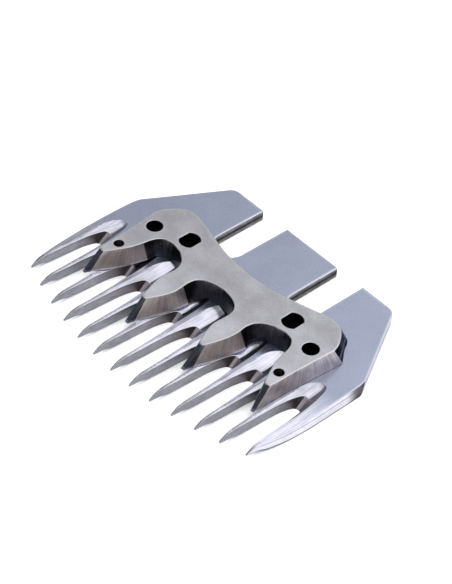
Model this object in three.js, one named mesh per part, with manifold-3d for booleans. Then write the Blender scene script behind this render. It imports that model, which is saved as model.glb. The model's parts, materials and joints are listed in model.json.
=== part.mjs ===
// Blade set of a powered sheep shearing handpiece: a thirteen-tooth comb, and the four-point
// cutter that swings across it.
//
// Millimetres, +Z up. The comb lies flat with its teeth pointing to -Y. Both blades are drawn
// with y = 0 at the tip of the comb's middle tooth, and the whole set is then moved back by half
// the comb's length, so that the origin is at the middle of the comb's underside.

import * as THREE from "three";
import { mergeVertices } from "three/addons/utils/BufferGeometryUtils.js";
import Module from "manifold-3d";

const wasm = await Module();
wasm.setup();

// ---- Driving dimensions ----

// The set as a whole
const POST_Y = 109; // the handpiece's centre post, behind the tip of the middle tooth
const REST_SWING = 0.9; // degrees that the cutter stands to one side of the middle
const RUNNING_GAP = 0.05; // oil film between the comb and the cutter

// Comb
const TEETH = 13;
const PITCH = 76 / 12; // 76 mm (3 inches) across the outermost tips
const COMB_THICK = 3.1;
const COMB_LENGTH = 63.1;
const COMB_HALF = 40.4; // half width of the underside behind the teeth
const SHOULDER_Y = 40; // where the sides turn in towards the tail
const SHOULDER_RADIUS = 1.5;
const TAIL_HALF = 27.8; // half width at the rear corners
const TAIL_RADIUS = 3;
const SLOT_X = 13.1; // middle of each comb-screw slot
const SLOT_HALF = 4.3;
const SLOT_CENTRE_Y = 48; // centre of the slot's round end
const ROOT_TOP_Y = 24.9; // closed end of the middle gap, at the height of the top face
const ROOT_TOP_RADIUS = 132; // the closed ends of all gaps lie on this arc there
const ROOT_UNDER_Y = 21.8; // and on the underside
const ROOT_UNDER_RADIUS = 155;
const TIP_HALF = 0.14; // half width of a tooth at its very tip
const SCOOP_END_Y = 33.6; // where the scoops behind the gaps run out
const SCOOP_SLOPE = 0.27; // fall of a scoop's bank, from its left edge to its deepest line
const SCOOP_RUNOUT = 2; // length over which that fall begins
const SCOOP_VALLEY = 0.15; // its deepest line, to the right of the middle of the gap
const SCOOP_SPREAD = 0.35; // how much wider the outermost scoops are on their right

// Cutter
const CUTTER_THICK = 5;
const HOLE_X = 26.6; // round holes for the pins of the fork
const HOLE_Y = 34.8;
const HOLE_RADIUS = 2.05;
const FLATTED_HOLE_X = 17.55; // round holes with two flats
const FLATTED_HOLE_Y = 38;
const FLATTED_HOLE_RADIUS = 2.65;
const FLATTED_HOLE_HALF = 2.1; // from its centre to each flat
const BLIND_HOLE_X = 27.3; // small blind holes in the outer points
const BLIND_HOLE_Y = 24.15;
const BLIND_HOLE_RADIUS = 1.25;
const BLIND_HOLE_DEPTH = 3;

// Drawing
const CLEAR = 1; // how far a cutting solid runs past the face that it cuts
const ARC_STEPS = 10;
const CORNER_STEPS = 5;
const HOLE_STEPS = 28;

// ---- Outlines that follow from a few points ----

// Side of the comb's outermost tooth, seen from above, on the underside and on the top face:
// [y, x under, x top]. The flank between them is rounded.
const FLANK = [
  [7.5, 38.2, 38.05], [9.5, 38.55, 38.3], [13.5, 39.4, 38.75], [17, 39.9, 39.1],
  [21, 40.2, 39.4], [26, COMB_HALF, 39.75], [34, COMB_HALF, 39.9], [39.6, COMB_HALF, 39.8],
  [41.8, 39.45, 39.45],
];
const FLANK_SECTION = [[0, 1], [0.42, 0.86], [0.78, 0.55], [1, 0.1]]; // [share across, share up]

// Half width of a gap between two teeth, at a distance in front of its closed end.
const GAP_TOP = [
  [0, 0], [0.15, 0.55], [0.6, 1], [1.6, 1.42], [3.2, 1.78], [5, 2.07], [7, 2.3],
  [9.8, 2.5], [15.4, 2.72], [21.5, 2.89], [25.4, 3.06],
];
const GAP_UNDER = [
  [0, 0], [0.12, 0.5], [0.5, 1.1], [1.5, 1.58], [2.8, 1.93], [4.4, 2.22], [6.5, 2.42],
  [9.8, 2.56], [14.3, 2.65], [18.5, 2.76], [22.6, 3.06],
];

// Edges of the scoop behind a gap, from the middle of the gap: [distance in front of its end, x].
const SCOOP_LEFT = [
  [0, -0.35], [0.15, -1], [0.5, -1.5], [1.4, -2.2], [2.6, -2.8], [4.4, -3.2], [6.4, -3.45],
  [9, -3.6], [12.5, -3.65], [16, -3.5], [20, -3.4],
];
const SCOOP_RIGHT = [
  [0, 0.35], [0.15, 0.5], [0.5, 0.72], [1.4, 1.05], [2.6, 1.3], [4.4, 1.58], [6.4, 1.8],
  [9, 2], [12, 2.12], [14, 2],
];
const SCOOP_STATIONS = [0, 0.15, 0.5, 1.4, 2.6, 4.4, 6.4, 9, 12.5, 16, 20, 24, 28];
const SCOOP_FLOOR = [[0, 0], [0.3, 0.3], [0.7, 0.72], [0.92, 0.96], [1, 1]]; // [share across, share down]

// Side view of a tooth's tip: [distance behind the tip, height].
const TIP_TOP = [[0, 1.42], [0.6, 1.9], [1.5, 2.45], [2.6, 2.9], [4, COMB_THICK]];
const TIP_UNDER = [[0, 1.2], [2.4, 1.15], [3.6, 0.95], [5, 0.52], [7.5, 0.32], [13, 0]];

// ---- Solids ----

function solidOf(geometry) {
  const bare = geometry.index ? geometry.toNonIndexed() : geometry.clone();
  bare.deleteAttribute("normal");
  bare.deleteAttribute("uv");
  const merged = mergeVertices(bare, 1e-5);
  return new wasm.Manifold(new wasm.Mesh({
    numProp: 3,
    vertProperties: Float32Array.from(merged.attributes.position.array),
    triVerts: Uint32Array.from(merged.index.array),
  }));
}

function geometryOf(solid) {
  const mesh = solid.getMesh();
  const geometry = new THREE.BufferGeometry();
  geometry.setAttribute("position", new THREE.BufferAttribute(Float32Array.from(mesh.vertProperties), 3));
  geometry.setIndex(new THREE.BufferAttribute(Uint32Array.from(mesh.triVerts), 1));
  geometry.computeVertexNormals();
  return geometry;
}

// A plate with the given outline, or Shape, between two heights.
function plate(outline, bottom, top) {
  const shape = outline instanceof THREE.Shape ? outline : new THREE.Shape(outline);
  const settings = { depth: top - bottom, bevelEnabled: false, curveSegments: HOLE_STEPS };
  const geometry = new THREE.ExtrudeGeometry(shape, settings);
  geometry.translate(0, 0, bottom);
  return solidOf(geometry);
}

// A bar along X with the given side view, as [y, z] points.
function bar(points, left, right) {
  const shape = new THREE.Shape(points.map(([y, z]) => new THREE.Vector2(-z, y)));
  const geometry = new THREE.ExtrudeGeometry(shape, { depth: right - left, bevelEnabled: false });
  geometry.rotateY(Math.PI / 2);
  geometry.translate(left, 0, 0);
  return solidOf(geometry);
}

// A solid through rings of Vector3 that have equally many points. Seen against the direction in
// which the rings follow each other, each ring runs counterclockwise. flat gives a ring's point
// in the plane of its end cap.
function loft(rings, flat) {
  const count = rings[0].length;
  const triangles = [];
  for (let i = 0; i < (rings.length - 1) * count; i += 1) {
    const next = i % count === count - 1 ? i + 1 - count : i + 1;
    triangles.push(i, next, next + count, i, next + count, i + count);
  }
  const last = (rings.length - 1) * count;
  for (const [a, b, c] of THREE.ShapeUtils.triangulateShape(rings[0].map(flat), [])) {
    triangles.push(c, b, a);
  }
  for (const [a, b, c] of THREE.ShapeUtils.triangulateShape(rings.at(-1).map(flat), [])) {
    triangles.push(last + a, last + b, last + c);
  }
  const geometry = new THREE.BufferGeometry().setFromPoints(rings.flat());
  geometry.setIndex(triangles);
  return solidOf(geometry);
}

const vector = (x, y) => new THREE.Vector2(x, y);
const inPlan = (point) => vector(point.x, point.y);
const fromFront = (point) => vector(point.x, point.z);
const fromBehind = (point) => vector(point.z, point.x);
const raised = (points, z) => points.map((point) => new THREE.Vector3(point.x, point.y, z));
const mirrored = (points) => points.map((point) => vector(-point.x, point.y)).reverse();
function bent(points) {
  return new THREE.SplineCurve(points.map(([x, y]) => vector(x, y))).getPoints(2 * points.length);
}

// A curve that rounds the corner at [x, y] between the directions of its two neighbours.
function corner([x, y], radius, before, after) {
  const at = vector(x, y);
  const back = vector(before[0] - x, before[1] - y).normalize();
  const ahead = vector(after[0] - x, after[1] - y).normalize();
  const reach = radius / Math.tan(Math.acos(back.dot(ahead)) / 2);
  const start = at.clone().addScaledVector(back, reach);
  const end = at.clone().addScaledVector(ahead, reach);
  return new THREE.QuadraticBezierCurve(start, at, end).getPoints(CORNER_STEPS);
}

function arc(x, y, radius, fromDegrees, toDegrees) {
  const from = THREE.MathUtils.degToRad(fromDegrees);
  const to = THREE.MathUtils.degToRad(toDegrees);
  return new THREE.EllipseCurve(x, y, radius, radius, from, to, to < from).getPoints(ARC_STEPS);
}

// The value at a position, from a list of [position, value] pairs.
function along(pairs, position) {
  const next = pairs.findIndex(([at]) => at > position);
  if (next === 0) {
    return pairs[0][1];
  }
  if (next < 0) {
    return pairs.at(-1)[1];
  }
  const [before, from] = pairs[next - 1];
  const [after, to] = pairs[next];
  return from + ((to - from) * (position - before)) / (after - before);
}

// How far an arc of the given radius has run back at a distance x from its middle.
const setBack = (radius, x) => radius - Math.sqrt(radius * radius - x * x);

// ---- Comb ----

const toothX = (tooth) => (tooth - (TEETH - 1) / 2) * PITCH;
const toothTipY = (tooth) => setBack(POST_Y, toothX(tooth));

function combOutline() {
  const teeth = [];
  for (let tooth = (TEETH - 1) / 2; tooth < TEETH; tooth += 1) {
    if (toothX(tooth) > 0) {
      teeth.push(vector(toothX(tooth) - TIP_HALF, toothTipY(tooth)));
    }
    teeth.push(vector(toothX(tooth) + TIP_HALF, toothTipY(tooth)));
  }
  const shoulder = [COMB_HALF, SHOULDER_Y];
  const tail = [TAIL_HALF, COMB_LENGTH];
  const right = [
    ...teeth,
    ...FLANK.slice(0, -2).map(([y, under]) => vector(under, y)),
    ...corner(shoulder, SHOULDER_RADIUS, [COMB_HALF, 0], tail),
    ...corner(tail, TAIL_RADIUS, shoulder, [0, COMB_LENGTH]),
    vector(SLOT_X + SLOT_HALF, COMB_LENGTH),
    ...arc(SLOT_X, SLOT_CENTRE_Y, SLOT_HALF, 0, -180),
    vector(SLOT_X - SLOT_HALF, COMB_LENGTH),
  ];
  return [...right, ...mirrored(right)];
}

function gapRing(middle, root, widths) {
  const side = widths.map(([ahead, half]) => vector(half, root - ahead));
  const left = side.slice(1).map((point) => vector(middle - point.x, point.y));
  const right = side.map((point) => vector(middle + point.x, point.y)).reverse();
  return [...right, ...left];
}

function gapCutter(middle) {
  const under = gapRing(middle, ROOT_UNDER_Y + setBack(ROOT_UNDER_RADIUS, middle), GAP_UNDER);
  const top = gapRing(middle, ROOT_TOP_Y + setBack(ROOT_TOP_RADIUS, middle), GAP_TOP);
  const rings = [
    raised(under, -CLEAR), raised(under, 0), raised(top, COMB_THICK), raised(top, COMB_THICK + CLEAR),
  ];
  return loft(rings, inPlan);
}

// One cross-section of the scoop that rises from the gap onto the top face: a long bank on its
// left, and a short steep one on its right.
function scoopSection(middle, ahead) {
  const y = SCOOP_END_Y - ahead;
  const left = along(SCOOP_LEFT, ahead);
  const right = along(SCOOP_RIGHT, ahead) * (1 + SCOOP_SPREAD * (middle / toothX(TEETH - 1)) ** 2);
  const atEnd = Math.sqrt(Math.min(1, (ahead + 0.02) / SCOOP_RUNOUT));
  const atTip = THREE.MathUtils.clamp((y - setBack(POST_Y, middle) - 2.5) / 6, 0.05, 1);
  const depth = SCOOP_SLOPE * (SCOOP_VALLEY - left) * atEnd * atTip;
  const floor = SCOOP_FLOOR.map(([across, down]) => [left + (SCOOP_VALLEY - left) * across, depth * down]);
  floor.push([SCOOP_VALLEY + (right - SCOOP_VALLEY) * 0.15, depth * 0.93], [right, 0]);
  const up = COMB_THICK + CLEAR;
  return [
    ...floor.map(([x, drop]) => new THREE.Vector3(middle + x, y, COMB_THICK - drop)),
    new THREE.Vector3(middle + right, y, up),
    new THREE.Vector3(middle + left, y, up),
  ];
}

function scoopCutter(middle) {
  const tipY = setBack(POST_Y, middle);
  const stations = SCOOP_STATIONS.filter((ahead) => SCOOP_END_Y - ahead > tipY + 2);
  return loft(stations.map((ahead) => scoopSection(middle, ahead)), fromFront);
}

function tipCutters(tooth) {
  const tipY = toothTipY(tooth);
  const place = ([behind, z]) => [tipY + behind, z];
  const top = [
    [tipY - CLEAR, TIP_TOP[0][1] - CLEAR], ...TIP_TOP.map(place),
    [tipY + TIP_TOP.at(-1)[0], COMB_THICK + CLEAR], [tipY - CLEAR, COMB_THICK + CLEAR],
  ];
  const under = [
    [tipY - CLEAR, TIP_UNDER[0][1]], [tipY - CLEAR, -CLEAR],
    [tipY + TIP_UNDER.at(-1)[0], -CLEAR], ...TIP_UNDER.map(place).reverse(),
  ];
  const left = toothX(tooth) - PITCH / 2;
  const right = toothX(tooth) + PITCH / 2;
  return [bar(top, left, right), bar(under, left, right)];
}

// Rounds the outer flank of the last tooth from its tip to the shoulder.
function flankCutter(side) {
  const rings = FLANK.map(([y, under, top]) => {
    const section = FLANK_SECTION.map(([across, up]) => [top + (under - top) * across, up * COMB_THICK]);
    const outside = COMB_HALF + CLEAR;
    section.push([outside, section.at(-1)[1]], [outside, COMB_THICK + CLEAR], [top, COMB_THICK + CLEAR]);
    const ring = section.map(([x, z]) => new THREE.Vector3(side * x, y, z));
    return side > 0 ? ring.reverse() : ring;
  });
  const first = rings[0].map((point) => point.clone().setY(0));
  return loft([first, ...rings], fromBehind);
}

function makeComb() {
  let comb = plate(combOutline(), 0, COMB_THICK);
  const cutters = [flankCutter(-1), flankCutter(1)];
  for (let tooth = 0; tooth < TEETH; tooth += 1) {
    cutters.push(...tipCutters(tooth));
    if (tooth < TEETH - 1) {
      const middle = toothX(tooth) + PITCH / 2;
      cutters.push(gapCutter(middle), scoopCutter(middle));
    }
  }
  for (const cutter of cutters) {
    comb = comb.subtract(cutter);
  }
  return geometryOf(comb);
}

// ---- Cutter ----

// Right half of the cutter's outline, from the middle gullet round to the middle of the back.
// Each stretch is given for the ground underside, which meets the comb, and for the top face.
function cutterHalf(isTop) {
  const at = (under, top) => (isTop ? top : under);
  return [
    ...bent(at(
      [[0, 32], [2, 31.85], [3.8, 30.9], [5, 29.5], [5.25, 28.1], [5.12, 26.7]],
      [[0, 32.74], [2.85, 32.3], [5.1, 31.3], [6.5, 29.7], [6.87, 27.9], [6.65, 25.2]],
    )),
    ...bent(at([[5.4, 24], [6.7, 18.8], [8.6, 13.4]], [[6.65, 23.3], [7.5, 20.3], [8.8, 17.5]])),
    ...at([vector(9.2, 11.35), vector(10.15, 11.45)], [vector(9.3, 16.7), vector(10.3, 16.8)]),
    ...bent(at([[10.8, 13.6], [12.6, 19.5], [13.4, 23.5]], [[10.9, 18.3], [11.9, 21.6], [12.4, 24.6]])),
    ...bent(at(
      [[14.08, 26.1], [13.7, 28.3], [13.75, 30.3], [15, 31.85], [17.2, 32.9]],
      [[12.35, 26.1], [12.15, 28.4], [12.6, 30.4], [13.9, 32.1], [16.1, 33.5]],
    )),
    ...bent(at(
      [[19.3, 33.3], [21, 33.1], [22.1, 32], [22.4, 30.4], [22.5, 28.8]],
      [[18.9, 34.1], [21.2, 33.75], [22.7, 32.4], [23.45, 30.6], [23.75, 28.8]],
    )),
    ...bent(at([[23.6, 25.3], [24.9, 22], [27.6, 16.6]], [[24.4, 26], [25.2, 24], [26.9, 20.5]])),
    ...at([vector(28.6, 14.6), vector(29.35, 14.75)], [vector(27.7, 19.5), vector(28.9, 19.8)]),
    ...bent(at([[29.5, 19], [30.3, 28.8], [31.45, 40.6]], [[29.2, 22.4], [29.6, 29.6], [30.35, 38.1]])),
    ...bent(at(
      [[31.4, 41], [29.8, 43], [28.45, 44.8], [27.5, 46.5], [26.4, 47.4], [24.4, 47.3]],
      [[30.4, 38.5], [29.75, 40.6], [28.6, 42.4], [27.1, 44.1], [25.2, 45.2], [23, 45.35]],
    )),
    ...bent(at([[21.5, 46.5], [9, 43.2], [0, 42.3]], [[20.5, 44.9], [9, 41.7], [0, 40.8]])),
  ];
}

function cutterRing(isTop, z) {
  const right = cutterHalf(isTop);
  return raised([...right, ...mirrored(right).slice(1, -1)], z);
}

function roundHole(x, y, radius) {
  const shape = new THREE.Shape();
  shape.absarc(x, y, radius, 0, 2 * Math.PI, false);
  return shape;
}

function flattedHole(x, y) {
  const turn = Math.acos(FLATTED_HOLE_HALF / FLATTED_HOLE_RADIUS);
  const shape = new THREE.Shape();
  shape.absarc(x, y, FLATTED_HOLE_RADIUS, turn, Math.PI - turn, false);
  shape.absarc(x, y, FLATTED_HOLE_RADIUS, Math.PI + turn, 2 * Math.PI - turn, false);
  shape.closePath();
  return shape;
}

function makeCutter() {
  let cutter = loft([cutterRing(false, 0), cutterRing(true, CUTTER_THICK)], inPlan);
  const above = CUTTER_THICK + CLEAR;
  for (const side of [-1, 1]) {
    const holes = [
      plate(roundHole(side * HOLE_X, HOLE_Y, HOLE_RADIUS), -CLEAR, above),
      plate(flattedHole(side * FLATTED_HOLE_X, FLATTED_HOLE_Y), -CLEAR, above),
      plate(
        roundHole(side * BLIND_HOLE_X, BLIND_HOLE_Y, BLIND_HOLE_RADIUS),
        CUTTER_THICK - BLIND_HOLE_DEPTH,
        above,
      ),
    ];
    for (const hole of holes) {
      cutter = cutter.subtract(hole);
    }
  }
  return geometryOf(cutter);
}

// ---- The set ----

const combSteel = new THREE.MeshStandardMaterial({ color: 0x9a9ca8, roughness: 0.32, metalness: 1 });
const cutterSteel = new THREE.MeshStandardMaterial({ color: 0xa8a6a8, roughness: 0.4, metalness: 1 });

const comb = new THREE.Mesh(makeComb(), combSteel);
comb.name = "comb";

const cutter = new THREE.Mesh(makeCutter(), cutterSteel);
cutter.name = "cutter";
cutter.position.set(0, -POST_Y, COMB_THICK + RUNNING_GAP);

const fork = new THREE.Group();
fork.position.set(0, POST_Y, 0);
fork.rotation.z = THREE.MathUtils.degToRad(REST_SWING);
fork.add(cutter);

const bladeSet = new THREE.Group();
bladeSet.position.set(0, -COMB_LENGTH / 2, 0);
bladeSet.add(comb, fork);

export default bladeSet;
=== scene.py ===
"""Blade set of powered sheep shears: a thirteen-tooth comb with a four-point cutter on it.

The shapes are worked out in millimetres, with y = 0 at the tip of the comb's middle tooth and
z = 0 on the comb's underside. Each blade is one closed skin: a top surface, an underside, the
walls between them, and small rounded edges where they meet.
"""

import json
import math

import bpy
import numpy as np
from mathutils import Matrix, Vector
from mathutils.geometry import delaunay_2d_cdt
from mathutils.kdtree import KDTree


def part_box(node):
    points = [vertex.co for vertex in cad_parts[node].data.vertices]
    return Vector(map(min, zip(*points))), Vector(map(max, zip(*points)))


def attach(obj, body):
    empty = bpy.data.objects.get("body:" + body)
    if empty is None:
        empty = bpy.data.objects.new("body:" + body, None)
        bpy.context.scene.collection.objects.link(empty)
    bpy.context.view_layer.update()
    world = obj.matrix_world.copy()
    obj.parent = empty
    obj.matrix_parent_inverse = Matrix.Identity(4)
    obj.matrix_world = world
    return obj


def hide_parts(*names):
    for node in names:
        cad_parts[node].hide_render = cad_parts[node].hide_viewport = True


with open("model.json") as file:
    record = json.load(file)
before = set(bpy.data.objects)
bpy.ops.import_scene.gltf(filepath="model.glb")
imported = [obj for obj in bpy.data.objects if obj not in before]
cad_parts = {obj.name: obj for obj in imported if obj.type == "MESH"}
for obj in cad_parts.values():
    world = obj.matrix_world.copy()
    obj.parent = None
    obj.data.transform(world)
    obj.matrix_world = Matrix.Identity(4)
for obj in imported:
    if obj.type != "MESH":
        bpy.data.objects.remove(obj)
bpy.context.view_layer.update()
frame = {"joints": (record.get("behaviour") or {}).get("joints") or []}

# ---- Sizes that come from the frame ----

MM = 1000  # millimetres in a metre
comb_low, comb_high = (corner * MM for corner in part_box("comb"))
cutter_low, cutter_high = (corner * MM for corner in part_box("cutter"))
SWING = frame["joints"][0]  # the cutter's swing about the handpiece's post

COMB_THICK = comb_high.z - comb_low.z
COMB_LENGTH = comb_high.y - comb_low.y
COMB_HALF = comb_high.x
ORIGIN_Y = -comb_low.y  # the frame's origin, behind the tip of the middle tooth
POST_Y = SWING["pos_m"][1] * MM + ORIGIN_Y  # the teeth's tips lie on an arc about the post
CUTTER_BASE = cutter_low.z
CUTTER_THICK = cutter_high.z - cutter_low.z

# ---- Comb ----

TEETH = 13
PITCH = 76 / 12
SHOULDER_Y = 40  # where the sides turn in towards the tail
TAIL_HALF = 27.8
TAIL_RADIUS = 3
SLOT_X = 13.1  # comb-screw slots
SLOT_HALF = 4.3
SLOT_CENTRE_Y = 48
ROOT_TOP_Y, ROOT_TOP_RADIUS = 24.9, 132  # the arc of the gaps' closed ends, at the top face
ROOT_UNDER_Y, ROOT_UNDER_RADIUS = 21.8, 155  # and on the underside
SCOOP_END_Y = 33.6
SCOOP_SLOPE = 0.27  # fall of the bank for each millimetre across
SCOOP_RUNOUT = 1.2  # length over which a scoop reaches its depth at its closed end
SCOOP_LIP = 0.02
SCOOP_VALLEY = 0.15  # x of the lowest line, from the gap's middle
SCOOP_SPREAD = 0.35  # how much wider their right sides grow towards the comb's sides
SCOOP_FRONT, SCOOP_FADE = 2.5, 6  # where a scoop begins behind the tips, and how long it deepens
LEAST_WALL = 0.05  # least width of a scoop's short wall
COMB_EDGE, TAIL_EDGE = 0.11, 0.26  # widths of the rounded edges, on the teeth and on the tail
TAIL_EDGE_Y = (43, 48)  # where one width grows into the other
TIP_EDGE_SHARE = 0.2  # the width at a tooth's tip, as a share of the full one
EDGE_GROWTH = 12  # length behind the tip over which the share would grow by 1

# Half width of a gap, at matching places of its top and under edges: (ahead of its end, half).
GAP_TOP = [
    (0, 0), (0.15, 0.55), (0.6, 1), (1.6, 1.42), (3.2, 1.78), (5, 2.07), (7, 2.3),
    (9.8, 2.5), (15.4, 2.72), (21.5, 2.89), (25.4, 3.06),
]
GAP_UNDER = [
    (0, 0), (0.12, 0.5), (0.5, 1.1), (1.5, 1.58), (2.8, 1.93), (4.4, 2.22), (6.5, 2.42),
    (9.8, 2.56), (14.3, 2.65), (18.5, 2.76), (22.6, 3.06),
]
# Edges of the scoop behind a gap, from the gap's middle: (ahead of its end, x).
SCOOP_LEFT = [
    (0, -0.35), (0.15, -1), (0.5, -1.5), (1.4, -2.2), (2.6, -2.8), (4.4, -3.2), (6.4, -3.45),
    (9, -3.6), (12.5, -3.65), (16, -3.5), (20, -3.4), (34, -3.4),
]
SCOOP_RIGHT = [
    (0, 0.35), (0.15, 0.5), (0.5, 0.72), (1.4, 1.05), (2.6, 1.3), (4.4, 1.58), (6.4, 1.8),
    (9, 2), (12, 2.12), (14, 2), (34, 2),
]
SCOOP_BANK = [(0, 0), (0.3, 0.3), (0.7, 0.72), (0.92, 0.96), (1, 1)]  # share across, share down
SCOOP_WALL = [(0, 1), (0.15, 0.93), (1, 0)]
# Side view of a tooth's tip: (behind the tip, height).
TIP_TOP = [(0, 1.42), (0.6, 1.9), (1.5, 2.45), (2.6, 2.9), (4, 3.1), (60, 3.1)]
TIP_UNDER = [(0, 1.2), (2.4, 1.15), (3.6, 0.95), (5, 0.52), (7.5, 0.32), (13, 0), (60, 0)]
# The comb's outer flank: (y, x under, x top), and how its wall is rounded: (share up, lean).
FLANK = [
    (6.85, 38.13, 38), (7.5, 38.2, 38.05), (9.5, 38.55, 38.3), (13.5, 39.4, 38.75), (17, 39.9, 39.1),
    (21, 40.2, 39.4), (26, 40.4, 39.75), (34, 40.4, 39.9), (39.5, 40.4, 39.8), (40.4, 40.17, 39.7),
    (41.75, 39.44, 39.44),
]
FLANK_LEAN = [(0, 0), (0.1, 0), (0.55, 0.22), (0.86, 0.58), (1, 1)]
CROWN_X, CROWN_SLOPE = 36.3, 0.1  # beyond this the outermost teeth fall away to their outer side,
CROWN_FRONT, CROWN_BACK = 22, 34  # fully ahead of the first y and not at all behind the second
# Where the comb's finishes and its painted shade change.
TEETH_POLISH = (-22, -12)  # along -y, where the top face turns from ground to polished
SIDE_POLISH = (34.5, 37)  # and beside the outermost gaps: outwards
SIDE_POLISH_Y = (-34, -22)  # and along -y
SHOULDER_SHADE = (35, 38.6)  # along y, where painted shade darkens the flank's shoulder
END_WALL = (0.8, 3)  # the end of a gap: reach to the left of its middle, and length
SHADE_LENGTH = 9  # how far the painted shade at a gap's closed end reaches along its walls
TIP_LENGTH = 4
LEAST_DROP = 0.002  # a top face lowered by more than this belongs to a scoop
VALLEY_HALF = 0.12  # from the lowest line to where a scoop's short wall begins
# How closely the comb's edge is divided.
GAP_STEPS, GAP_CROWDING = 64, 1.25  # points down a side of a gap, closer near its closed end
FLANK_TURN_Y, FLANK_TIP_STEPS, FLANK_STEPS = 9, 7, 48  # points on both sides of this y
SLOT_STEPS, SLOT_ARC_STEPS, REAR_STEPS = 12, 36, 6
# Where the comb's top gets extra points, so that it follows its scoops and its tips.
END_AHEAD = [0, 0.05, 0.12, 0.22, 0.35, 0.5, 0.7, 0.95, 1.25]  # ahead of a scoop's end,
FIRST_AHEAD, AHEAD_STEP = 1.6, 0.38  # and further ahead in even steps
BANK_SHARES = (0, 0.12, 0.3, 0.5, 0.7, 0.85, 0.93, 1)
WALL_SHARES = (0.08, 0.16, 0.35, 0.6, 0.82, 1)
TIP_BEHIND = (0.6, 1.1, 1.5, 2, 2.6, 3.3, 4)
TIP_ACROSS = (-0.12, 0, 0.12)
LEAST_SPACING = 0.03

# ---- Cutter ----

HOLE = (26.6, 34.8, 2.05)  # x, y and radius of the round holes
FLATTED_HOLE = (17.55, 38, 2.65)
FLATTED_HOLE_HALF = 2.1
BLIND_HOLE = (27.3, 24.15, 1.25)
BLIND_HOLE_DEPTH = 3
DRILL_POINT = 0.6  # depth of the cone at a blind hole's bottom
CUTTER_EDGE = 0.16  # width of its rounded edges
REST_SWING = math.radians(0.9)  # how far it stands from the middle at rest
POINTS_POLISH = (-34, -22)  # along -y, where its top turns brighter towards the points

# ---- Curves ----


def ramp(position, start, end):
    """From 0 at the start to 1 at the end, smoothly."""
    share = np.clip((np.asarray(position, float) - start) / (end - start), 0, 1)
    return share * share * (3 - 2 * share)


def eased(table, position):
    """Values along a table of (position, value) pairs, on a smooth curve that never overshoots."""
    at, value = np.array(table, float).T
    step = np.diff(at)
    slope = np.diff(value) / step
    tangent = np.zeros(len(at))
    tangent[0], tangent[-1] = slope[0], slope[-1]
    before, after = slope[:-1], slope[1:]
    same = before * after > 0
    first = 2 * step[1:] + step[:-1]
    second = step[1:] + 2 * step[:-1]
    safe_before = np.where(same, before, 1)
    safe_after = np.where(same, after, 1)
    mean = (first + second) / (first / safe_before + second / safe_after)
    tangent[1:-1] = np.where(same, mean, 0)
    x = np.clip(position, at[0], at[-1])
    i = np.clip(np.searchsorted(at, x, "right") - 1, 0, len(at) - 2)
    s = (x - at[i]) / step[i]
    return (
        value[i] * (1 + 2 * s) * (1 - s) ** 2 + step[i] * tangent[i] * s * (1 - s) ** 2
        + value[i + 1] * s * s * (3 - 2 * s) + step[i] * tangent[i + 1] * s * s * (s - 1)
    )


def bent(points, per_span=5):
    """A Catmull-Rom curve through points."""
    p = np.array(points, float)
    out = []
    for i in range(len(p) - 1):
        a, b, c, d = p[max(i - 1, 0)], p[i], p[i + 1], p[min(i + 2, len(p) - 1)]
        for k in range(per_span):
            t = k / per_span
            m0, m1 = (c - a) / 2, (d - b) / 2
            out.append(
                (2 * t**3 - 3 * t**2 + 1) * b + (t**3 - 2 * t**2 + t) * m0
                + (3 * t**2 - 2 * t**3) * c + (t**3 - t**2) * m1
            )
    out.append(p[-1])
    return out


def rounded(at, radius, before, after, steps=8):
    """A curve that rounds the corner at a point, between the directions of its two neighbours."""
    at, before, after = (np.array(p, float) for p in (at, before, after))
    back = (before - at) / np.linalg.norm(before - at)
    ahead = (after - at) / np.linalg.norm(after - at)
    reach = radius / math.tan(math.acos(float(back @ ahead)) / 2)
    start, end = at + back * reach, at + ahead * reach
    t = np.linspace(0, 1, steps + 1)[:, None]
    return list((1 - t) ** 2 * start + 2 * t * (1 - t) * at + t * t * end)


def arc(x, y, radius, start, end, steps=24):
    """Points of an arc about x and y, between two angles in degrees."""
    turn = np.radians(np.linspace(start, end, steps + 1))
    return [np.array((x + radius * math.cos(a), y + radius * math.sin(a))) for a in turn]


def straight(start, end, steps):
    """Points at even steps along a straight line, with both its ends."""
    start, end = np.array(start, float), np.array(end, float)
    return [start + (end - start) * t for t in np.linspace(0, 1, steps + 1)]


def mirrored(points):
    """The curve's twin on the other side of the middle, run the other way."""
    return [np.array((-p[0], p[1])) for p in reversed(points)]


def everywhere(value):
    """A function of x and y that is the same everywhere."""
    return lambda x, y: np.full(np.shape(x), value)


def set_back(radius, x):
    """How far an arc of the given radius has run back at a distance x from its middle."""
    return radius - np.sqrt(radius * radius - x * x)


# ---- A closed skin with rounded edges ----

WALL_ROWS, ROUND_ROWS = 7, 3  # rows of faces up a wall, and over a rounded edge
EDGE_SHARE = 0.3  # of a wall's height, the most that a rounded edge takes
HALO = 0.4  # distance of a ring of points inside every edge
RING_ROOM, BULK_ROOM = 0.8 * HALO, 0.45 * HALO  # least distance of inner points from an edge
RING_GAP = 0.15  # and of the ring from the other inner points
SAME_POINT, LEAST_AREA = 1e-6, 1e-9  # closer points are one, and smaller faces are left out
HALVINGS = 40  # steps of a search by halves
SHARP_ANGLE = math.radians(42)  # edges that bend more are sharp
SLOPE_STEP = 0.01  # distance over which a surface's slope is measured
SAMPLE_PULL = 0.12  # how far a corner's normal is sampled towards its triangle's middle
BATCH = 2000


class Loop:
    """A closed edge of a blade: matching points on its underside and its top, with material on
    the left of the way they run. zones says which finish the wall from each point on has, flank
    how much it is rounded like the comb's outer flank, and shade how much painted shade it takes."""

    def __init__(self, under, top, zones, flank=None, shade=None):
        self.under = np.array(under, float)
        self.top = np.array(top, float)
        self.zones = list(zones)
        self.flank = np.zeros(len(self.top)) if flank is None else np.array(flank, float)
        self.shade = np.zeros(len(self.top)) if shade is None else np.array(shade, float)

    def at(self, share):
        lean = share + self.flank * (eased(FLANK_LEAN, share) - share)
        return self.under + (self.top - self.under) * lean[:, None]


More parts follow.
